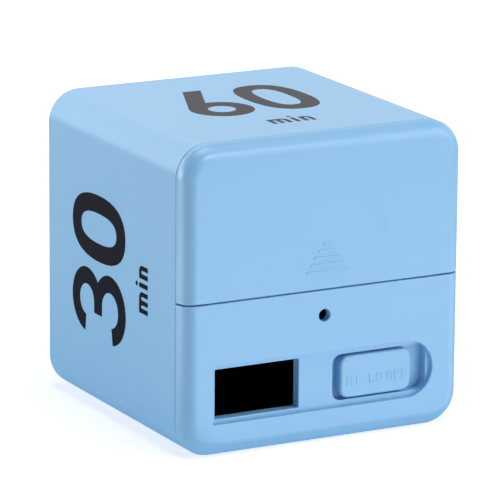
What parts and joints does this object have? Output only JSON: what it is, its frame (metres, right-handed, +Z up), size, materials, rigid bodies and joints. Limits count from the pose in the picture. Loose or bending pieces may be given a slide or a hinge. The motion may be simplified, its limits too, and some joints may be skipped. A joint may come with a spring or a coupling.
{
  "type": "digital timer",
  "caption": "Cube countdown timer with a number printed on each of four faces, a display window, a slide switch and a slide-off battery door.",
  "frame": {"origin": "centre of the bottom face, on the surface the timer stands on with its 60 on top", "axes": "+Z up, the front with the display and the battery door faces -Y, the 30 face is at -X"},
  "size_m": [0.062, 0.0622, 0.062],
  "materials": {
    "blue_abs": "satin moulded ABS",
    "print_ink": "pad printed ink",
    "dark_lens": "polished smoked acrylic",
    "lcd": "polarised display glass",
    "black_plastic": "moulded black nylon",
    "elastomer": "soft conductive rubber",
    "board": "solder mask over glass epoxy",
    "epoxy": "cast black epoxy",
    "steel": "zinc plated steel",
    "nickel": "nickel plated spring steel",
    "gold_can": "drawn brass can",
    "cell_jacket": "shrink sleeve over a steel can",
    "foam": "soft black foam",
    "copper": "enamelled copper winding",
    "ferrite": "sintered magnet",
    "red_lead": "red PVC insulation",
    "black_lead": "black PVC insulation",
    "white_switch": "moulded acetal",
    "component": "fired ceramic chip"
  },
  "bodies": {
    "root": {"main_housing": "blue_abs", "front_panel": "blue_abs", "battery_tray": "blue_abs", "print_60": "print_ink", "print_30": "print_ink", "print_15": "print_ink", "print_5": "print_ink", "display_lens": "dark_lens", "lcd_glass": "lcd", "lcd_frame": "black_plastic", "elastomer_strips": "elastomer", "circuit_board": "board", "chip_cover": "epoxy", "crystal": "steel", "board_components": "component", "switch_body": "black_plastic", "tilt_can_left": "gold_can", "tilt_can_right": "gold_can", "buzzer_case": "black_plastic", "buzzer_diaphragm": "steel", "buzzer_magnet": "ferrite", "buzzer_coil": "copper", "buzzer_gasket": "foam", "lower_cell": "cell_jacket", "upper_cell": "cell_jacket", "contact_positive": "nickel", "contact_negative": "nickel", "contact_bridge": "nickel", "contact_springs": "nickel", "wire_positive": "red_lead", "wire_negative": "black_lead", "tray_screws": "steel", "board_screws": "steel"},
    "door": {"battery_door": "blue_abs"},
    "knob": {"switch_knob": "blue_abs", "switch_lever": "white_switch"},
    "ball_left": {"tilt_ball_left": "steel"},
    "ball_right": {"tilt_ball_right": "steel"}
  },
  "joints": [
    {"name": "door_slide", "type": "slide", "parent": "root", "child": "door", "axis": [0, 0, 1], "range_m": [0, 0.034]},
    {"name": "knob_slide", "type": "slide", "parent": "root", "child": "knob", "axis": [1, 0, 0], "range_m": [0, 0.0035]},
    {"name": "ball_left_roll", "type": "slide", "parent": "root", "child": "ball_left", "axis": [-0.7071, 0, 0.7071], "range_m": [0, 0.004]},
    {"name": "ball_right_roll", "type": "slide", "parent": "root", "child": "ball_right", "axis": [0.7071, 0, 0.7071], "range_m": [0, 0.004]}
  ]
}
